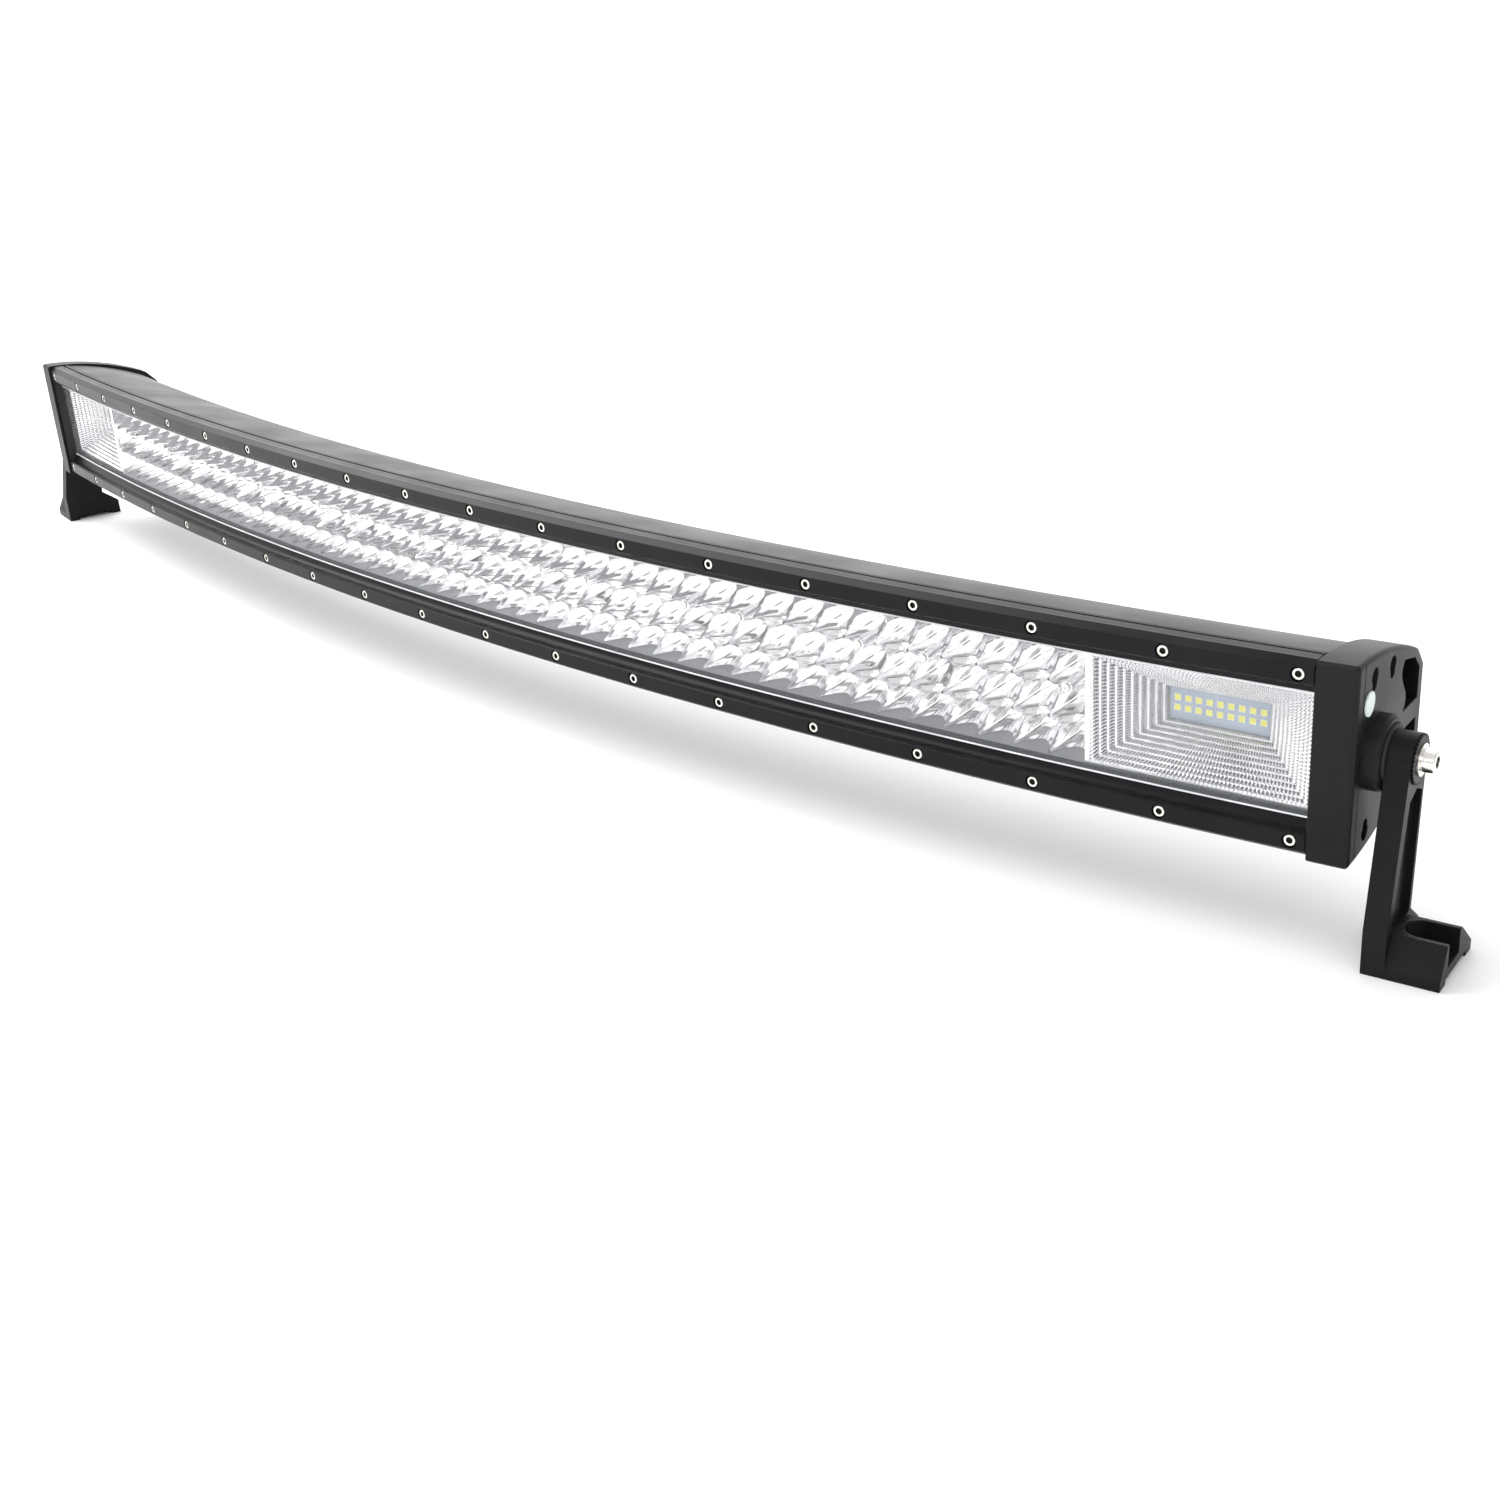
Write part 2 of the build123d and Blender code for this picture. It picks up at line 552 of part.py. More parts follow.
with BuildPart() as right_bracket:
    # arm blank: hub and foot joined by two straight edges
    with BuildSketch(section(HALF_ANGLE, RING_REACH)):
        with Locations((PIVOT_DEPTH, PIVOT_HEIGHT)):
            Circle(HUB_RADIUS)
        with BuildLine():
            Polyline((PIVOT_DEPTH - HUB_RADIUS, PIVOT_HEIGHT), (FOOT_FRONT, FOOT_TOP + 2),
                     (FOOT_FRONT, FOOT_BASE), (FOOT_BACK, FOOT_BASE), (FOOT_BACK, FOOT_BASE + 10),
                     (FOOT_TOP_BACK + 4, FOOT_TOP + 1), (PIVOT_DEPTH + HUB_RADIUS, PIVOT_HEIGHT),
                     close=True)
        make_face()
    extrude(amount=HUB_REACH - RING_REACH)
    # channel between the front and back flanges, open outwards
    with BuildSketch(section(HALF_ANGLE, HUB_REACH)):
        with BuildLine():
            Polyline((PIVOT_DEPTH - 8.0, -16), (FOOT_FRONT + FLANGE + 1, FOOT_TOP - 4),
                     (FOOT_TOP_BACK + 4 - FLANGE, FOOT_TOP + 1), (PIVOT_DEPTH + 7.6, -16),
                     (PIVOT_DEPTH, -12.5), close=True)
        make_face()
    extrude(amount=-CHANNEL_DEPTH, mode=Mode.SUBTRACT)
    # foot: upright band round the sole, sloping facets in front and behind
    with BuildSketch(section(HALF_ANGLE, RING_REACH)):
        with BuildLine():
            Polyline((FOOT_FRONT, FOOT_BASE), (FOOT_BACK, FOOT_BASE),
                     (FOOT_BACK, FOOT_BASE + SOLE_HEIGHT), (FOOT_TOP_BACK, FOOT_TOP),
                     (FOOT_TOP_FRONT, FOOT_TOP), (FOOT_FRONT, FOOT_BASE + SOLE_HEIGHT), close=True)
        make_face()
    extrude(amount=FOOT_OUTER - RING_REACH)
    # bolt pocket, open at the outer end, and the bolt hole in its floor
    with BuildSketch(foot_plan(POCKET_FLOOR)):
        with Locations((POCKET_ROUND, FOOT_BOLT_DEPTH)):
            Circle(POCKET_HALF)
        with Locations((POCKET_ROUND + 15, FOOT_BOLT_DEPTH)):
            Rectangle(30, 2 * POCKET_HALF)
    extrude(amount=20, mode=Mode.SUBTRACT)
    with BuildSketch(foot_plan(FOOT_BASE)):
        with Locations((FOOT_BOLT_REACH, FOOT_BOLT_DEPTH)):
            Circle(FOOT_BOLT_RADIUS)
    extrude(amount=12, mode=Mode.SUBTRACT)
    # shallow arch between the front and back rails of the sole, with a pad round the bolt
    with BuildSketch(foot_plan(FOOT_BASE)):
        with Locations(((RING_REACH + FOOT_OUTER) / 2, (FOOT_FRONT + FOOT_BACK) / 2)):
            Rectangle(FOOT_OUTER - RING_REACH + 1, FOOT_BACK - FOOT_FRONT - 2 * SOLE_RAIL)
        with Locations((FOOT_BOLT_REACH, FOOT_BOLT_DEPTH)):
            Circle(BOLT_PAD, mode=Mode.SUBTRACT)
    extrude(amount=ARCH_HEIGHT, mode=Mode.SUBTRACT)
    # bore for the pivot bolt
    with BuildSketch(section(HALF_ANGLE, RING_REACH)):
        with Locations((PIVOT_DEPTH, PIVOT_HEIGHT)):
            Circle(BOLT_RADIUS + RUNNING_FIT)
    extrude(amount=20, mode=Mode.SUBTRACT)

# ---- flood modules at both ends -----------------------------------------------------
FLOOD_MOUTH = (FLOOD_WIDTH - 5.0, 2 * REFLECTOR_HALF_HEIGHT - 4.0)

with BuildPart() as right_flood_reflector:
    with BuildSketch(front(FLOOD_CENTRE, BOARD_FRONT)):
        Rectangle(FLOOD_WIDTH, 2 * REFLECTOR_HALF_HEIGHT)
    extrude(amount=CUP_DEPTH)
    for step in range(FLOOD_STEPS + 1):
        share = step / FLOOD_STEPS
        width = FLOOD_MOUTH[0] + (FLOOD_WINDOW[0] - FLOOD_MOUTH[0]) * share
        height = FLOOD_MOUTH[1] + (FLOOD_WINDOW[1] - FLOOD_MOUTH[1]) * share
        with BuildSketch(front(FLOOD_CENTRE, REFLECTOR_FRONT)):
            Rectangle(width, height)
        extrude(amount=-CUP_DEPTH * (step + 1) / (FLOOD_STEPS + 1), mode=Mode.SUBTRACT)

with BuildPart() as right_flood_board:
    with BuildSketch(front(FLOOD_CENTRE, SHELF_FRONT)):
        Rectangle(FLOOD_WIDTH, 2 * REFLECTOR_HALF_HEIGHT)
    extrude(amount=BOARD_THICKNESS - 0.3)

with BuildPart() as right_flood_leds:
    with BuildSketch(front(FLOOD_CENTRE, BOARD_FRONT + 0.3)):
        with GridLocations(*FLOOD_LED_PITCH, FLOOD_LED_COLUMNS, 2):
            Rectangle(LED_SIZE, LED_SIZE)
    extrude(amount=LED_THICKNESS)

# ---- write both hands of each end piece ---------------------------------------------
END_PIECES = {
    "end_cap": right_end_cap,
    "cap_gasket": right_cap_gasket,
    "cap_screws": right_cap_screws,
    "friction_ring": right_friction_ring,
    "toothed_washer": right_toothed_washer,
    "flat_washer": right_flat_washer,
    "pivot_bolt": right_pivot_bolt,
    "bracket": right_bracket,
    "flood_reflector": right_flood_reflector,
    "flood_board": right_flood_board,
    "flood_leds": right_flood_leds,
}

for name, right_piece in END_PIECES.items():
    finish(right_piece, f"right_{name}")
    with BuildPart() as left_piece:
        mirror(right_piece.part, about=Plane.YZ)
    finish(left_piece, f"left_{name}")
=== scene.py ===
"""Looks of the curved LED light bar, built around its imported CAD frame, in metres."""

import json
import math

import bpy
from mathutils import Matrix, Vector


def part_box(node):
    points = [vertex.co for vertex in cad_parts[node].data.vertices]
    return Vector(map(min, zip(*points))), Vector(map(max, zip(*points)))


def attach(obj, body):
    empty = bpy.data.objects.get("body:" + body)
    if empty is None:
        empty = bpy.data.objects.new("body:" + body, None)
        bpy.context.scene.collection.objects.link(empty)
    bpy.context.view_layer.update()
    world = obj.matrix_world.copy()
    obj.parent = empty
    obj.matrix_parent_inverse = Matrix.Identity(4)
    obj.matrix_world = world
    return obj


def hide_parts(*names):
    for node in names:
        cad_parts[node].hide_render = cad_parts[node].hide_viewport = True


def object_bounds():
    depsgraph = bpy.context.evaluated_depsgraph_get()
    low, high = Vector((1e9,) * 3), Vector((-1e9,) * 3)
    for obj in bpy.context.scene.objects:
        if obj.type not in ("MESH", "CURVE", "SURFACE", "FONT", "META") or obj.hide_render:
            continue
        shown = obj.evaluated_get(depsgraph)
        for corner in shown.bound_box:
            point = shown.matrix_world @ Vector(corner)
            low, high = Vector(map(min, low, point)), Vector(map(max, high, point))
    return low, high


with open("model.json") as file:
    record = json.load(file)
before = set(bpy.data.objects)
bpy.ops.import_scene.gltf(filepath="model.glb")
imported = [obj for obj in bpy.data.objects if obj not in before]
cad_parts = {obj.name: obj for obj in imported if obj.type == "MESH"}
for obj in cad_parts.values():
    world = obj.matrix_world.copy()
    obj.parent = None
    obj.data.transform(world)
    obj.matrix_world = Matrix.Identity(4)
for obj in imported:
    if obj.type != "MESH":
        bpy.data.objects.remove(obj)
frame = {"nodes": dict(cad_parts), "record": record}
NODES = frame["nodes"]
cad_low, cad_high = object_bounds()

MM = 0.001
SIDES = {"left": -1, "right": 1}
ROWS = {"top": 1, "bottom": -1}

# ---- the bar's own frame, read from the CAD nodes -----------------------------------
ARC_RADIUS = 3385 * MM  # screw face of the trims to the bend axis
trim_low, trim_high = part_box("top_trim_strip")
BEND_Y = trim_low.y + ARC_RADIUS
lens_low, lens_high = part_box("lens")
MID_HEIGHT = (lens_low.z + lens_high.z) / 2
BODY_ANGLE = math.asin(trim_high.x / ARC_RADIUS)

CUP_PITCH_X = 19.3 * MM
CUP_PITCH_Z = 17.9 * MM
CUP_COLUMNS = 6
CUP_ROWS = 3
SPOT_MODULES = 8
MODULE_WIDTH = CUP_COLUMNS * CUP_PITCH_X
THROAT_DEPTH = 35.6 * MM
THROAT_RADIUS = 3.2 * MM
TIP_DEPTH = 11.1 * MM
REFLECTOR_FRONT = 11 * MM
REFLECTOR_HALF = 27.3 * MM
BOARD_FACE = 36.3 * MM


def station(angle):
    """Matrix of the bar's local frame: x along the bar, y backwards, z up from mid-height."""
    along = Vector((math.cos(angle), math.sin(angle), 0))
    backwards = Vector((-math.sin(angle), math.cos(angle), 0))
    origin = Vector((ARC_RADIUS * math.sin(angle), BEND_Y - ARC_RADIUS * math.cos(angle),
                     MID_HEIGHT))
    placed = Matrix.Identity(4)
    for row in range(3):
        placed[row][0] = along[row]
        placed[row][1] = backwards[row]
        placed[row][3] = origin[row]
    return placed


def circle_turns(count):
    """Evenly spaced angles of a full turn."""
    return [2 * math.pi * step / count for step in range(count)]


# ---- materials ----------------------------------------------------------------------
def new_material(name, color, roughness, metallic=0.0, specular=0.5):
    """Principled material with its plain values set on the shader's own sockets."""
    material = bpy.data.materials.new(name)
    material.use_nodes = True
    shader = material.node_tree.nodes["Principled BSDF"]
    shader.inputs["Base Color"].default_value = (*color, 1)
    shader.inputs["Roughness"].default_value = roughness
    shader.inputs["Metallic"].default_value = metallic
    shader.inputs["Specular IOR Level"].default_value = specular
    return material, material.node_tree, shader


def noise(tree, scale, detail=3.0):
    """Noise over the object's own coordinates, in cycles per metre."""
    place = tree.nodes.new("ShaderNodeTexCoord")
    texture = tree.nodes.new("ShaderNodeTexNoise")
    texture.inputs["Scale"].default_value = scale
    texture.inputs["Detail"].default_value = detail
    tree.links.new(place.outputs["Object"], texture.inputs["Vector"])
    return texture.outputs["Fac"]


NOISE_LOW = 0.3  # most of the noise lies between these two values
NOISE_HIGH = 0.7


def remap(tree, value, low, high, start=NOISE_LOW, stop=NOISE_HIGH):
    """Stretch a value from start..stop to low..high."""
    node = tree.nodes.new("ShaderNodeMapRange")
    node.inputs["From Min"].default_value = start
    node.inputs["From Max"].default_value = stop
    node.inputs["To Min"].default_value = low
    node.inputs["To Max"].default_value = high
    tree.links.new(value, node.inputs["Value"])
    return node.outputs["Result"]


def tint(tree, shader, value, dark, light):
    """Drive the base colour by a noise value, between two colours."""
    ramp = tree.nodes.new("ShaderNodeValToRGB")
    ramp.color_ramp.elements[0].color = (*dark, 1)
    ramp.color_ramp.elements[0].position = NOISE_LOW
    ramp.color_ramp.elements[1].color = (*light, 1)
    ramp.color_ramp.elements[1].position = NOISE_HIGH
    tree.links.new(value, ramp.inputs["Fac"])
    tree.links.new(ramp.outputs["Color"], shader.inputs["Base Color"])


def roughen(tree, shader, value, low, high):
    """Drive the roughness by a noise value, between two levels."""
    tree.links.new(remap(tree, value, low, high), shader.inputs["Roughness"])


BEVEL_SAMPLES = 4


def bump(tree, shader, height, strength, distance, edge=0.0):
    """Bump map, over edges that are rounded by a small bevel radius."""
    node = tree.nodes.new("ShaderNodeBump")
    node.inputs["Strength"].default_value = strength
    node.inputs["Distance"].default_value = distance
    tree.links.new(height, node.inputs["Height"])
    if edge:
        bevel = tree.nodes.new("ShaderNodeBevel")
        bevel.samples = BEVEL_SAMPLES
        bevel.inputs["Radius"].default_value = edge
        tree.links.new(bevel.outputs["Normal"], node.inputs["Normal"])
    tree.links.new(node.outputs["Normal"], shader.inputs["Normal"])


COAT_GLOSS = 0.14
COAT_PATCHES = 22.0
COAT_GRAIN = 2600.0


def powder_coat(name, dark, light, rough_low, rough_high, edge=0.5 * MM):
    """Black powder coat: fine orange peel, slight patches of gloss and wear."""
    material, tree, shader = new_material(name, light, rough_high, specular=COAT_GLOSS)
    patches = noise(tree, COAT_PATCHES, 5.0)
    tint(tree, shader, patches, dark, light)
    roughen(tree, shader, patches, rough_low, rough_high)
    bump(tree, shader, noise(tree, COAT_GRAIN, 4.0), 0.12, 0.15 * MM, edge)
    return material


METAL_SHADE = 0.82  # of the full colour, where the finish is dull


def metal(name, color, rough_low, rough_high, grain=900.0, edge=0.3 * MM):
    """Bright steel with fine brushing and patches of duller finish."""
    material, tree, shader = new_material(name, color, rough_high, metallic=1.0)
    brushing = noise(tree, grain, 6.0)
    tint(tree, shader, brushing, tuple(c * METAL_SHADE for c in color), color)
    roughen(tree, shader, brushing, rough_low, rough_high)
    bump(tree, shader, brushing, 0.1, 0.04 * MM, edge)
    return material


MIRROR_METALLIC = 0.92
MIRROR_MARKS = 260.0
MIRROR_SHADE = 0.94


def metallised(name, color, rough_low, rough_high):
    """Vacuum-metallised plastic: nearly a mirror, with faint flow marks."""
    material, tree, shader = new_material(name, color, rough_high, metallic=MIRROR_METALLIC)
    marks = noise(tree, MIRROR_MARKS, 4.0)
    tint(tree, shader, marks, tuple(c * MIRROR_SHADE for c in color), color)
    roughen(tree, shader, marks, rough_low, rough_high)
    bump(tree, shader, marks, 0.08, 0.1 * MM)
    return material


PLASTIC_PATCHES = 60.0
PLASTIC_GRAIN = 1800.0


def plastic(name, dark, light, rough_low, rough_high):
    """Moulded plastic, rubber or solder mask with a fine surface grain."""
    material, tree, shader = new_material(name, light, rough_high)
    patches = noise(tree, PLASTIC_PATCHES, 4.0)
    tint(tree, shader, patches, dark, light)
    roughen(tree, shader, patches, rough_low, rough_high)
    bump(tree, shader, noise(tree, PLASTIC_GRAIN), 0.1, 0.1 * MM)
    return material


LENS_ALPHA = 0.07
LENS_IOR = 1.58
LENS_HAZE = 14.0


def clear_lens(name):
    """Thin clear polycarbonate: mostly see-through, glossier at grazing angles."""
    material, tree, shader = new_material(name, (0.94, 0.97, 1.0), 0.04)
    shader.inputs["Alpha"].default_value = LENS_ALPHA
    shader.inputs["IOR"].default_value = LENS_IOR
    haze = noise(tree, LENS_HAZE)
    roughen(tree, shader, haze, 0.02, 0.07)
    bump(tree, shader, haze, 0.03, 0.2 * MM)
    return material


PHOSPHOR_GRAIN = 2400.0


def phosphor(name):
    """Yellow LED phosphor with a fine grain."""
    material, tree, shader = new_material(name, (0.92, 0.88, 0.16), 0.45)
    grain = noise(tree, PHOSPHOR_GRAIN)
    tint(tree, shader, grain, (0.74, 0.72, 0.05), (0.84, 0.82, 0.12))
    bump(tree, shader, grain, 0.15, 0.05 * MM)
    return material


VENT_WEAVE = 1500.0


def vent_disc(name):
    """Pale vent membrane with a fine weave."""
    material, tree, shader = new_material(name, (0.75, 0.84, 0.79), 0.5)
    weave = noise(tree, VENT_WEAVE, 2.0)
    tint(tree, shader, weave, (0.62, 0.74, 0.68), (0.84, 0.9, 0.87))
    bump(tree, shader, weave, 0.2, 0.1 * MM, 0.2 * MM)
    return material


SAND_GRAIN = 1100.0
SAND_FULL = 17 * MM  # height up to which the foot is fully rough
SAND_END = 21 * MM


def rough_cast(name):
    """Bracket coat: smooth on the arm, coarse sand-cast grain low on the foot."""
    material = powder_coat(name, (0.004, 0.004, 0.0045), (0.009, 0.009, 0.01), 0.36, 0.5, 0.7 * MM)
    tree = material.node_tree
    shader = tree.nodes["Principled BSDF"]
    place = tree.nodes.new("ShaderNodeTexCoord")
    split = tree.nodes.new("ShaderNodeSeparateXYZ")
    tree.links.new(place.outputs["Object"], split.inputs["Vector"])
    coarse = tree.nodes.new("ShaderNodeMath")
    coarse.operation = "MULTIPLY"
    tree.links.new(noise(tree, SAND_GRAIN, 6.0), coarse.inputs[0])
    low_band = remap(tree, split.outputs["Z"], 1.0, 0.0, SAND_FULL, SAND_END)
    tree.links.new(low_band, coarse.inputs[1])
    sand = tree.nodes.new("ShaderNodeBump")
    sand.inputs["Strength"].default_value = 0.6
    sand.inputs["Distance"].default_value = 0.5 * MM
    tree.links.new(coarse.outputs["Value"], sand.inputs["Height"])
    fine = shader.inputs["Normal"].links[0].from_socket
    tree.links.new(fine, sand.inputs["Normal"])
    tree.links.new(sand.outputs["Normal"], shader.inputs["Normal"])
    return material


# name: dark colour, light colour, lowest and highest roughness, and the edge radius
COATS = {
    "housing_coat": ((0.008, 0.008, 0.009), (0.013, 0.013, 0.014), 0.34, 0.46),
    "trim_coat": ((0.004, 0.004, 0.005), (0.008, 0.008, 0.009), 0.26, 0.36),
    "cap_coat": ((0.007, 0.007, 0.008), (0.013, 0.013, 0.014), 0.36, 0.5, 0.8 * MM),
}
# name: colour, lowest and highest roughness, grain, and the edge radius
METALS = {
    "small_screws": ((0.93, 0.91, 0.84), 0.24, 0.38, 900.0, 0),
    "cap_screws": ((0.55, 0.55, 0.54), 0.25, 0.4),
    "bolt_steel": ((0.88, 0.86, 0.82), 0.10, 0.24, 500.0),
    "driver_parts": ((0.55, 0.55, 0.57), 0.3, 0.5),
}
# name: colour, lowest and highest roughness
MIRRORS = {
    "reflector": ((0.95, 0.95, 0.96), 0.07, 0.14),
    "flood_reflector": ((0.96, 0.96, 0.97), 0.12, 0.2),
    # painted shade: darker olive-grey streaks along the folds of the spot cups
    "streak": ((0.36, 0.365, 0.31), 0.16, 0.26),
}
# name: dark colour, light colour, lowest and highest roughness
PLASTICS = {
    "rubber": ((0.010, 0.010, 0.010), (0.022, 0.022, 0.022), 0.6, 0.8),
    "apron": ((0.19, 0.19, 0.20), (0.26, 0.26, 0.27), 0.35, 0.5),
    "led_board": ((0.33, 0.39, 0.48), (0.42, 0.48, 0.58), 0.4, 0.55),
    "led_case": ((0.80, 0.80, 0.78), (0.90, 0.90, 0.88), 0.35, 0.5),
    "driver_board": ((0.02, 0.12, 0.05), (0.04, 0.2, 0.09), 0.35, 0.5),
    "wire": ((0.30, 0.02, 0.02), (0.42, 0.03, 0.03), 0.4, 0.55),
    "gland_plastic": ((0.012, 0.012, 0.013), (0.022, 0.022, 0.024), 0.45, 0.6),
    # painted shade: darker grey at the foot of each flood prism, under the next step
    "seam": ((0.055, 0.055, 0.06), (0.10, 0.10, 0.11), 0.3, 0.42),
    # painted shade: near-black inside the hexagonal sockets of the trim screws
    "socket": ((0.004, 0.004, 0.004), (0.009, 0.009, 0.009), 0.6, 0.8),
    # painted highlight: pale colour of the bead that shows as the lens edge's bright line
    "glint": ((0.62, 0.63, 0.66), (0.86, 0.87, 0.90), 0.12, 0.22),
}
# materials with a recipe of their own
SPECIALS = {
    "bracket_coat": rough_cast,
    "lens": clear_lens,
    "led_phosphor": phosphor,
    "vent": vent_disc,
}

MATERIALS = {name: recipe(name) for name, recipe in SPECIALS.items()}
for recipe, table in ((powder_coat, COATS), (metal, METALS), (metallised, MIRRORS),
                      (plastic, PLASTICS)):
    for name, values in table.items():
        MATERIALS[name] = recipe(name, *values)

slot_of = {part["node"]: part["material_slot"] for part in frame["record"]["subparts"]}
for node_name, node in NODES.items():
    node.data.materials.clear()
    node.data.materials.append(MATERIALS[slot_of[node_name]])


# ---- mesh helpers -------------------------------------------------------------------
def split_sharp(piece, degrees):
    """Keep the edges that turn by more than this angle crisp under smooth shading."""
    modifier = piece.modifiers.new("crisp", "EDGE_SPLIT")
    modifier.split_angle = math.radians(degrees)


class Mesh:
    """Points, faces and face materials gathered piece by piece."""

    def __init__(self):
        self.points = []
        self.faces = []
        self.slots = []

    def grid(self, rows, slot=0, closed=False):
        """Quads between rows of equally many points."""
        start = len(self.points)
        width = len(rows[0])
        for row in rows:
            self.points.extend(row)
        for r in range(len(rows) - 1):
            for c in range(width if closed else width - 1):
                a = start + r * width + c
                b = start + r * width + (c + 1) % width
                self.faces.append((a, b, b + width, a + width))
                self.slots.append(slot)

    def face(self, corners, slot=0):
        """One flat face with points of its own."""
        start = len(self.points)
        self.points.extend(corners)
        self.faces.append(tuple(range(start, start + len(corners))))
        self.slots.append(slot)

    def piece(self, name, placed, materials, smooth=True):
        """Turn what was gathered into a piece placed by a matrix."""
        mesh = bpy.data.meshes.new(name)
        mesh.from_pydata([placed @ Vector(point) for point in self.points], [], self.faces)
        for material in materials:
            mesh.materials.append(MATERIALS[material])
        mesh.polygons.foreach_set("material_index", self.slots)
        mesh.polygons.foreach_set("use_smooth", [smooth] * len(self.faces))
        mesh.validate()
        mesh.update()
        piece = bpy.data.objects.new(name, mesh)
        bpy.context.scene.collection.objects.link(piece)
        return piece


# ---- spot reflectors: parabolic cups that meet in sharp cusps -----------------------
CUP_SPOKES = 64
CUP_RINGS = 9
RING_SPACING = 0.85  # power that draws the rings towards the border
PETALS = 4
PETAL_FOLD = 0.17  # share by which a fold stands proud of the paraboloid
FOLD_PEAK = 1.05
COLLAR_GAP = 0.3 * MM  # between a cup's collar and the board
PAINTED_STREAK_START = 3  # rings between the throat and a streak of painted shade
CUP_CREASE = 38  # degrees
CORNER = math.hypot(CUP_PITCH_X / 2, CUP_PITCH_Z / 2)
CUP_CURVE = (THROAT_DEPTH - TIP_DEPTH) / (CORNER ** 2 - THROAT_RADIUS ** 2)
TINY = 1e-9


def cup_point(centre_x, centre_z, turn, share):
    """Point on a cup's wall: share 0 is the throat and 1 the border with its neighbours."""
    reach_x = CUP_PITCH_X / 2 / max(abs(math.cos(turn)), TINY)
    reach_z = CUP_PITCH_Z / 2 / max(abs(math.sin(turn)), TINY)
    border = min(reach_x, reach_z)
    radius = THROAT_RADIUS + (border - THROAT_RADIUS) * share ** RING_SPACING
    swell = math.sin(math.pi * min(1, share * FOLD_PEAK))
    fold = 1 + PETAL_FOLD * abs(math.sin(PETALS * turn)) * swell
    depth = THROAT_DEPTH - CUP_CURVE * (radius ** 2 - THROAT_RADIUS ** 2) * fold
    return (centre_x + radius * math.cos(turn), depth, centre_z + radius * math.sin(turn))


def cup_centres():
    """Centres of a module's cups, as (x, z)."""
    for row in range(CUP_ROWS):
        for column in range(CUP_COLUMNS):
            x = (column - (CUP_COLUMNS - 1) / 2) * CUP_PITCH_X
            z = (row - (CUP_ROWS - 1) / 2) * CUP_PITCH_Z
            yield x, z


def add_cup(mesh, x, z):
    """One cup from the collar round its LED to the border, with a streak of painted shade along
    each fold.
    """
    turns = circle_turns(CUP_SPOKES)
    collar = BOARD_FACE - COLLAR_GAP
    rings = [[(x + THROAT_RADIUS * math.cos(t), collar, z + THROAT_RADIUS * math.sin(t))
              for t in turns]]
    for ring in range(CUP_RINGS + 1):
        rings.append([cup_point(x, z, t, ring / CUP_RINGS) for t in turns])
    first = len(mesh.faces)
    mesh.grid(rings, closed=True)
    fold_step = CUP_SPOKES // (2 * PETALS)
    for face in range(first, len(mesh.faces)):
        ring, spoke = divmod(face - first, CUP_SPOKES)
        painted_streak_end = CUP_RINGS - 1 - (spoke // fold_step) % 3
        if spoke % fold_step == 0 and PAINTED_STREAK_START < ring < painted_streak_end:
            mesh.slots[face] = 2


APRON_INSET = 0.15 * MM
APRON_DEPTHS = [11.2 * MM, 12 * MM, 24 * MM, 35 * MM]


def add_apron(mesh, half_width, side):
    """Satin plate above or below the cups, from behind the lens to the board."""
    level = side * (REFLECTOR_HALF - APRON_INSET)
    rows = [[(x, depth, level) for x in (-half_width, 0, half_width)] for depth in APRON_DEPTHS]
    if side > 0:
        rows.reverse()
    mesh.grid(rows, slot=1)


# radius and depth in millimetres, from the foot of the post to the screw's socket
POST_OUTLINE = [(3.6, 24), (3.0, 13.2), (2.8, 12.6), (2.3, 12.3), (2.2, 12.3), (2.15, 12.7),
                (1.2, 12.8)]
POST_SPOKES = 24
MODULE_SCREWS = [(-1.5 * CUP_PITCH_X, 7.2 * MM), (2.5 * CUP_PITCH_X, 7.2 * MM)]


def add_post(mesh, x, z):
    """Screw post between two rows, with the module screw's socket head in it."""
    turns = circle_turns(POST_SPOKES)
    rings = [[(x + r * MM * math.cos(t), depth * MM, z + r * MM * math.sin(t)) for t in turns]
             for r, depth in POST_OUTLINE]
    mesh.grid(rings, closed=True)


for index in range(SPOT_MODULES):
    node_name = f"spot_reflector_{index + 1}"
    angle = (index - (SPOT_MODULES - 1) / 2) * MODULE_WIDTH / ARC_RADIUS
    cups = Mesh()
    for x, z in cup_centres():
        add_cup(cups, x, z)
    for side in (-1, 1):
        add_apron(cups, MODULE_WIDTH / 2, side)
    for x, z in MODULE_SCREWS:
        add_post(cups, x, z)
    piece = cups.piece(f"petal_{node_name}", station(angle), ["reflector", "apron", "streak"])
    split_sharp(piece, CUP_CREASE)
    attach(piece, "lamp")
    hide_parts(node_name)

# ---- flood reflectors: terraced walls of small prisms around an LED window ----------
FLOOD_HALF = Vector((53.5 * MM, 0, 27.3 * MM))
MOUTH_HALF = Vector((51 * MM, 0, 25.6 * MM))
WINDOW_HALF = Vector((23.5 * MM, 0, 7.75 * MM))
WINDOW_DEPTH = 34.5 * MM
FLOOD_STEPS = 10
PRISM_WIDTH = 2.0 * MM
PRISM_SAMPLES = 6
STEP_SAMPLES = 5
PRISM_BULGE = 0.8 * MM
STEP_CURVE = 2.6  # power of a step's drop: flat at its front, steep at its foot
RIM_STEP = 0.4 * MM
RIM_ROUND = 0.3 * MM
RIM_SCALE = 0.995
SKIRT_BACK = 35 * MM
SLEEVE_GAP = 0.1 * MM
PRISM_CREASE = 35  # degrees


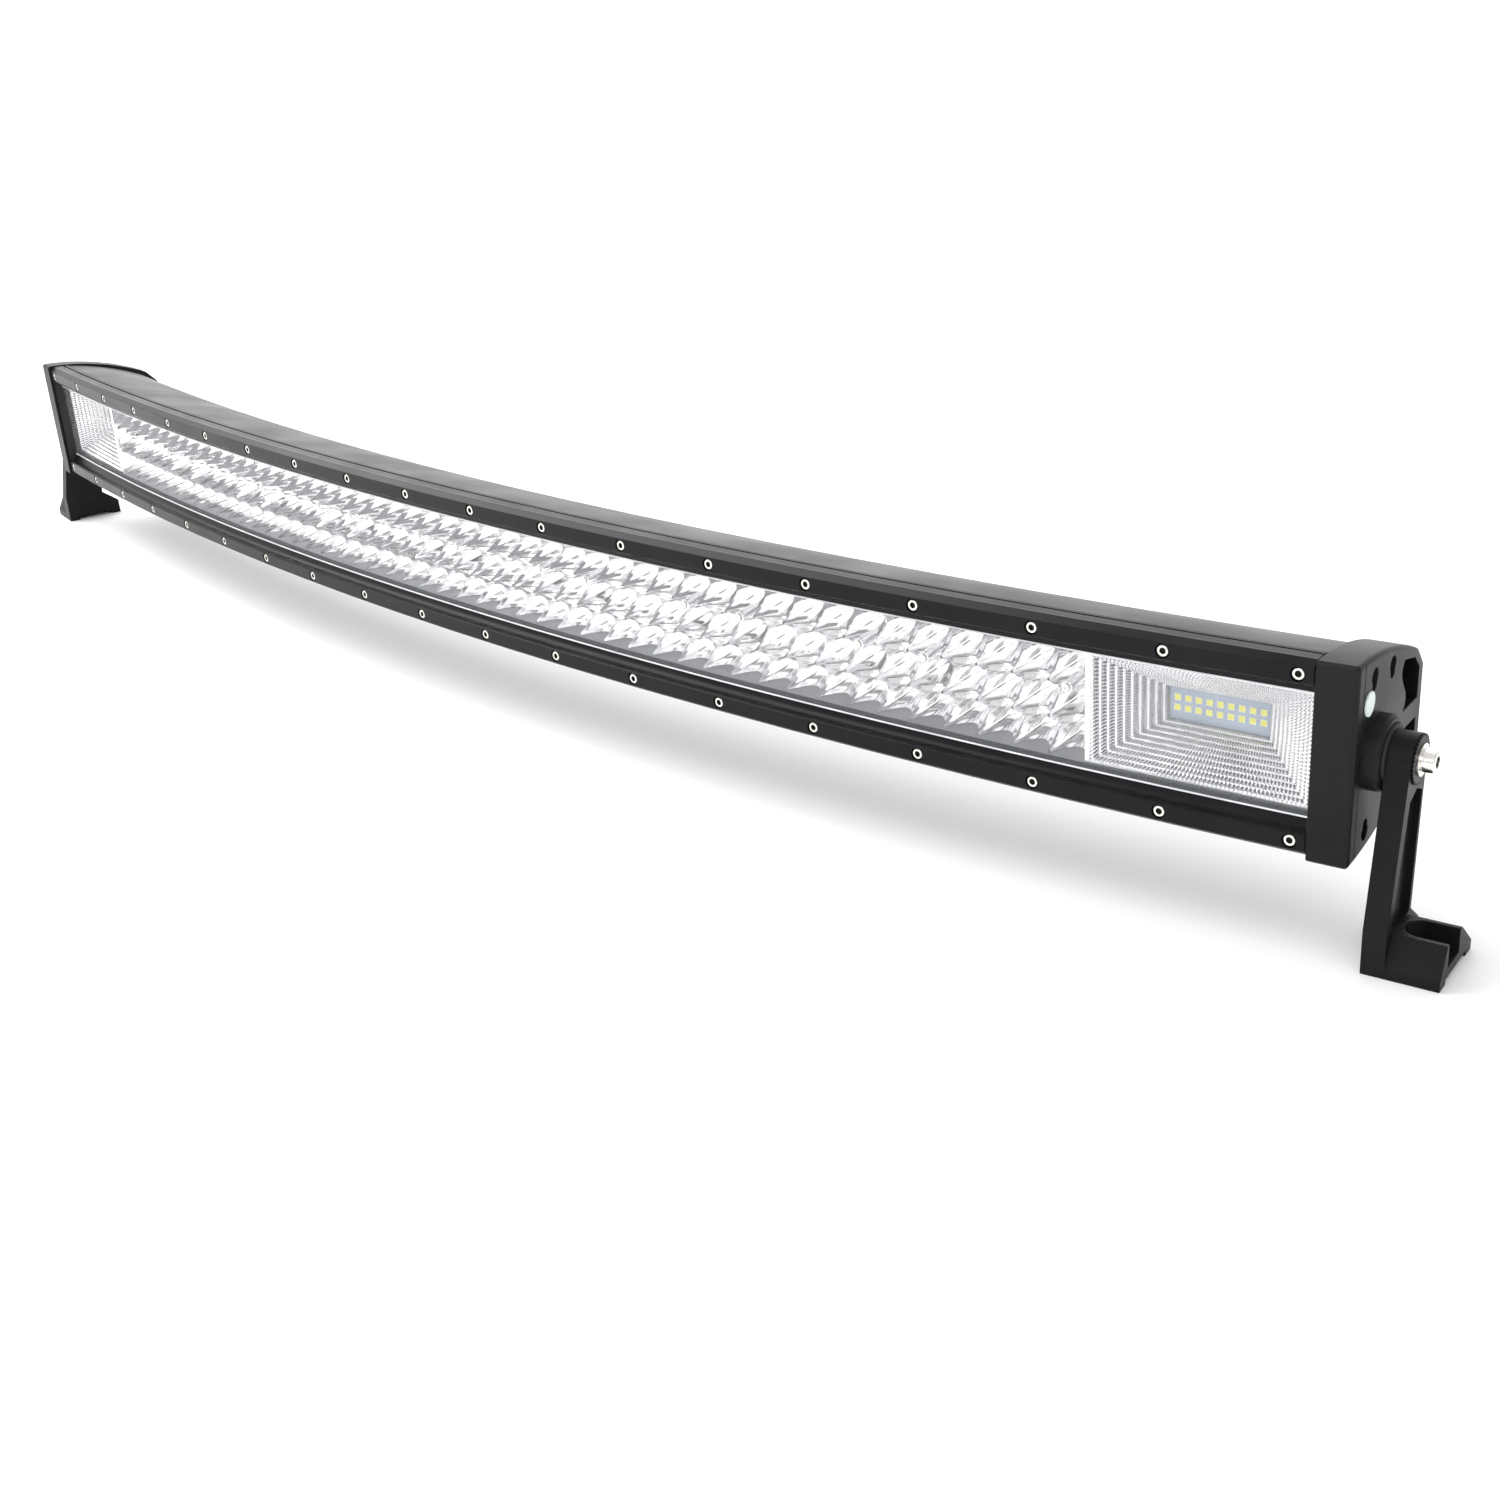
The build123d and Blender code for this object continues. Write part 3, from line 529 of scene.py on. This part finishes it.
def flood_corner(turn, share):
    """Corner of the funnel at a share of the way from mouth to window."""
    half = MOUTH_HALF.lerp(WINDOW_HALF, share)
    signs = ((-1, -1), (1, -1), (1, 1), (-1, 1))[turn % 4]
    return Vector((half.x * signs[0], 0, half.z * signs[1]))


def flood_row(start, stop, level, prisms, swell):
    """Points along a wall, from corner to corner, with one bulge for each prism."""
    columns = prisms * PRISM_SAMPLES
    row = []
    for column in range(columns + 1):
        along = column / columns
        bulge = abs(math.sin(math.pi * prisms * along)) * swell
        point = start.lerp(stop, along)
        row.append((point.x, level - PRISM_BULGE * bulge, point.z))
    return row


def shade_step(mesh, first, columns):
    """Darken the foot of each prism, which lies in the shade of the next step."""
    for face in range(first, len(mesh.faces)):
        row, column = divmod(face - first, columns)
        place = column % PRISM_SAMPLES
        at_foot = row == STEP_SAMPLES - 1 and place not in (0, PRISM_SAMPLES - 1)
        above_foot = row == STEP_SAMPLES - 2 and place in (2, 3)
        if at_foot or above_foot:
            mesh.slots[face] = 1


def flood_wall(mesh, turn):
    """One of the four walls: scalloped steps that drop towards the window."""
    length = (flood_corner(turn, 0) - flood_corner(turn + 1, 0)).length
    prisms = round(length / PRISM_WIDTH)
    for step in range(FLOOD_STEPS):
        rows = []
        for sample in range(STEP_SAMPLES + 1):
            across = sample / STEP_SAMPLES
            share = (step + across) / FLOOD_STEPS
            drop = (step + across ** STEP_CURVE) / FLOOD_STEPS
            level = REFLECTOR_FRONT + RIM_STEP + (WINDOW_DEPTH - REFLECTOR_FRONT) * drop
            rows.append(flood_row(flood_corner(turn, share), flood_corner(turn + 1, share),
                                  level, prisms, math.sin(math.pi * across)))
        first = len(mesh.faces)
        mesh.grid(rows)
        shade_step(mesh, first, prisms * PRISM_SAMPLES)


def square_ring(half_x, half_z, depth, x=0.0, z=0.0):
    """Four corners of a rectangle that faces the light."""
    return [(x - half_x, depth, z - half_z), (x + half_x, depth, z - half_z),
            (x + half_x, depth, z + half_z), (x - half_x, depth, z + half_z)]


def flood_frame(mesh):
    """Plain outer skirt, flat rim in front of the walls, and the window's short sleeve."""
    outer_front = FLOOD_HALF * RIM_SCALE
    mesh.grid([square_ring(FLOOD_HALF.x, FLOOD_HALF.z, SKIRT_BACK),
               square_ring(FLOOD_HALF.x, FLOOD_HALF.z, REFLECTOR_FRONT + RIM_ROUND),
               square_ring(outer_front.x, outer_front.z, REFLECTOR_FRONT),
               square_ring(MOUTH_HALF.x, MOUTH_HALF.z, REFLECTOR_FRONT),
               square_ring(MOUTH_HALF.x, MOUTH_HALF.z, REFLECTOR_FRONT + RIM_STEP)], closed=True)
    mesh.grid([square_ring(WINDOW_HALF.x, WINDOW_HALF.z, WINDOW_DEPTH + RIM_STEP),
               square_ring(WINDOW_HALF.x, WINDOW_HALF.z, BOARD_FACE - SLEEVE_GAP)], closed=True)


flood_low, flood_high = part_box("right_flood_board")
flood_centre = (flood_low + flood_high) / 2
FLOOD_ANGLE = math.atan2(flood_centre.x, BEND_Y - flood_centre.y)

for hand, side in SIDES.items():
    walls = Mesh()
    for turn in range(4):
        flood_wall(walls, turn)
    flood_frame(walls)
    piece = walls.piece(f"prism_{hand}_flood_reflector", station(side * FLOOD_ANGLE),
                        ["flood_reflector", "seam"])
    split_sharp(piece, PRISM_CREASE)
    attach(piece, "lamp")
    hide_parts(f"{hand}_flood_reflector")

# ---- LED packages: white case with a phosphor well ----------------------------------
LED_HALF = 1.55 * MM
LED_RISE = 0.7 * MM
LED_BEVEL = 0.1 * MM
WELL_HALF = 1.36 * MM
WELL_SLOPE = 0.08 * MM
WELL_DEPTH = 0.12 * MM
FLOOD_LED_COLUMNS = 9
FLOOD_LED_PITCH = (5.05 * MM, 4.9 * MM)


def add_led(mesh, x, z):
    """Square package: sides, bevelled rim, sloping well and phosphor floor."""
    face = BOARD_FACE - LED_RISE
    outline = [(LED_HALF, BOARD_FACE), (LED_HALF, face + LED_BEVEL), (LED_HALF - LED_BEVEL, face),
               (WELL_HALF, face), (WELL_HALF - WELL_SLOPE, face + WELL_DEPTH)]
    rings = [square_ring(half, half, depth, x, z) for half, depth in outline]
    mesh.grid(rings, closed=True)
    mesh.face(rings[-1], slot=1)


for hand, side in SIDES.items():
    leds = Mesh()
    for column in range(FLOOD_LED_COLUMNS):
        for row in (-0.5, 0.5):
            x = (column - FLOOD_LED_COLUMNS // 2) * FLOOD_LED_PITCH[0]
            add_led(leds, x, row * FLOOD_LED_PITCH[1])
    piece = leds.piece(f"detailed_{hand}_flood_leds", station(side * FLOOD_ANGLE),
                       ["led_case", "led_phosphor"], smooth=False)
    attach(piece, "lamp")
    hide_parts(f"{hand}_flood_leds")

# ---- trim screws: bright rounded heads, with painted shade in the deep socket -------
SCREW_ROW_HALF = 37.5 * MM
SCREW_STEP = math.radians(1.07)
END_SCREW_SHIFT = math.radians(0.066)
SCREW_COUNT = 19
# radius and depth in millimetres, from the shank's end to the socket
HEAD_OUTLINE = [(1.4, 10.3), (1.4, 2.4), (2.8, 2.4), (2.82, 1.0), (2.72, 0.62), (2.45, 0.36),
                (2.1, 0.26), (1.75, 0.3), (1.5, 0.5)]
SOCKET_RADIUS = 1.42 * MM
SOCKET_TOP = 0.5 * MM
SOCKET_FLOOR = 1.9 * MM
HEAD_SPOKES = 24
HEAD_CREASE = 50  # degrees


def hexagon_radius(turn):
    """Distance from the centre to the socket's wall in a direction."""
    half_side = math.pi / 6
    return SOCKET_RADIUS * math.cos(half_side) / math.cos(turn % (2 * half_side) - half_side)


def add_screw(mesh, placed, height):
    """Socket-head screw: shank, rounded rim and a hexagonal socket coloured near-black as painted
    shade.
    """
    turns = circle_turns(HEAD_SPOKES)

    def ring(radii, depth):
        return [placed @ Vector((r * math.cos(t), depth, height + r * math.sin(t)))
                for r, t in zip(radii, turns)]

    rings = [ring([radius * MM] * HEAD_SPOKES, depth * MM) for radius, depth in HEAD_OUTLINE]
    mesh.grid(rings, closed=True)
    hexagon = [hexagon_radius(t) for t in turns]
    mesh.grid([rings[-1], ring(hexagon, SOCKET_TOP), ring(hexagon, SOCKET_FLOOR),
               ring([0.0] * HEAD_SPOKES, SOCKET_FLOOR)], slot=1, closed=True)


for word, side in ROWS.items():
    screws = Mesh()
    for index in range(SCREW_COUNT):
        offset = index - SCREW_COUNT // 2
        angle = offset * SCREW_STEP
        if abs(offset) == SCREW_COUNT // 2:
            angle -= math.copysign(END_SCREW_SHIFT, offset)
        add_screw(screws, station(angle), side * SCREW_ROW_HALF)
    piece = screws.piece(f"ring_{word}_trim_screws", Matrix.Identity(4),
                         ["small_screws", "socket"])
    split_sharp(piece, HEAD_CREASE)
    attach(piece, "lamp")
    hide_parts(f"{word}_trim_screws")

# ---- painted highlight: a pale bead along both trims for the bright line of the lens edge ---
BEAD_SLICES = 180
BEAD_SPOKES = 10
BEAD_RADIUS = 0.45 * MM
BEAD_DEPTH = 6.5 * MM
BEAD_HEIGHT = 28.1 * MM
BEAD_ANGLE = BODY_ANGLE * 0.999  # just short of the cap gaskets


def bead_ring(angle, side):
    """Round section of the bead at one place along the bar."""
    placed = station(angle)
    return [placed @ Vector((0, BEAD_DEPTH + BEAD_RADIUS * math.cos(t),
                             side * BEAD_HEIGHT + BEAD_RADIUS * math.sin(t)))
            for t in circle_turns(BEAD_SPOKES)]


for word, side in ROWS.items():
    bead = Mesh()
    rings = [bead_ring(BEAD_ANGLE * (2 * i / BEAD_SLICES - 1), side)
             for i in range(BEAD_SLICES + 1)]
    bead.grid(rings, closed=True)
    last = BEAD_SLICES * BEAD_SPOKES
    bead.faces.append(tuple(range(BEAD_SPOKES)))
    bead.faces.append(tuple(reversed(range(last, last + BEAD_SPOKES))))
    bead.slots.extend([0, 0])
    piece = bead.piece(f"painted_highlight_bead_{word}", Matrix.Identity(4), ["glint"])
    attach(piece, "lamp")

# ---- studio: pale floor, soft lights, camera ----------------------------------------
FLOOR_HALF = 30.0
FLOOR_GAP = 0.2 * MM  # below the soles
FLOOR_CORNERS = [(-FLOOR_HALF, -FLOOR_HALF, 0), (FLOOR_HALF, -FLOOR_HALF, 0),
                 (FLOOR_HALF, FLOOR_HALF, 0), (-FLOOR_HALF, FLOOR_HALF, 0)]

floor_mesh = bpy.data.meshes.new("studio_floor")
floor_mesh.from_pydata(FLOOR_CORNERS, [], [(0, 1, 2, 3)])
floor = bpy.data.objects.new("studio_floor", floor_mesh)
floor.location.z = cad_low.z - FLOOR_GAP
bpy.context.scene.collection.objects.link(floor)
floor_mesh.materials.append(new_material("studio_paper", (0.93, 0.93, 0.93), 0.9, specular=0.1)[0])

# The sky is brighter low down behind the bar, so its tops shine grey and its fronts stay dark.
GLOW_DIRECTION = Vector((-0.72, 0.64, 0.27)).normalized()
GLOW_START = 0.5  # cosines of the angle to that direction
GLOW_FULL = 0.95
SKY_STRENGTH = 0.9
GLOW_STRENGTH = 2.3

world = bpy.data.worlds.new("studio_world")
world.use_nodes = True
sky = world.node_tree
background = sky.nodes["Background"]
background.inputs["Color"].default_value = (1, 1, 1, 1)
direction = sky.nodes.new("ShaderNodeTexCoord")
facing = sky.nodes.new("ShaderNodeVectorMath")
facing.operation = "DOT_PRODUCT"
facing.inputs[1].default_value = GLOW_DIRECTION
sky.links.new(direction.outputs["Generated"], facing.inputs[0])
glow = remap(sky, facing.outputs["Value"], SKY_STRENGTH, GLOW_STRENGTH, GLOW_START, GLOW_FULL)
sky.links.new(glow, background.inputs["Strength"])
bpy.context.scene.world = world


LIGHT_TARGET = Vector((0, 0, 0.1))


def soft_box(name, place, size, power):
    """Rectangular area light aimed at the bar."""
    light = bpy.data.lights.new(name, "AREA")
    light.shape = "RECTANGLE"
    light.size, light.size_y = size
    light.energy = power
    lamp = bpy.data.objects.new(name, light)
    lamp.location = place
    lamp.rotation_mode = "QUATERNION"
    lamp.rotation_quaternion = (LIGHT_TARGET - Vector(place)).to_track_quat("-Z", "Y")
    bpy.context.scene.collection.objects.link(lamp)


soft_box("top_box", (-1.5, -0.35, 1.8), (2.4, 1.8), 62)
soft_box("front_box", (1.2, -2.2, 1.5), (1.6, 1.2), 16)

CAMERA_PLACE = Vector((0.9270, -0.6635, 0.4132))
CAMERA_AZIMUTH = math.radians(47.27)
CAMERA_ELEVATION = math.radians(23.25)
CAMERA_ROLL = math.radians(-4.06)

camera_data = bpy.data.cameras.new("camera")
camera_data.lens = 45.0
camera_data.sensor_width = 36.0
camera_data.clip_start = 0.02
camera = bpy.data.objects.new("camera", camera_data)
camera.location = CAMERA_PLACE
looking = Vector((-math.sin(CAMERA_AZIMUTH) * math.cos(CAMERA_ELEVATION),
                  math.cos(CAMERA_AZIMUTH) * math.cos(CAMERA_ELEVATION),
                  -math.sin(CAMERA_ELEVATION)))
camera.rotation_mode = "QUATERNION"
roll = Matrix.Rotation(CAMERA_ROLL, 4, "Z").to_quaternion()
camera.rotation_quaternion = looking.to_track_quat("-Z", "Y") @ roll
bpy.context.scene.collection.objects.link(camera)
bpy.context.scene.camera = camera
bpy.context.scene.view_settings.view_transform = "Standard"
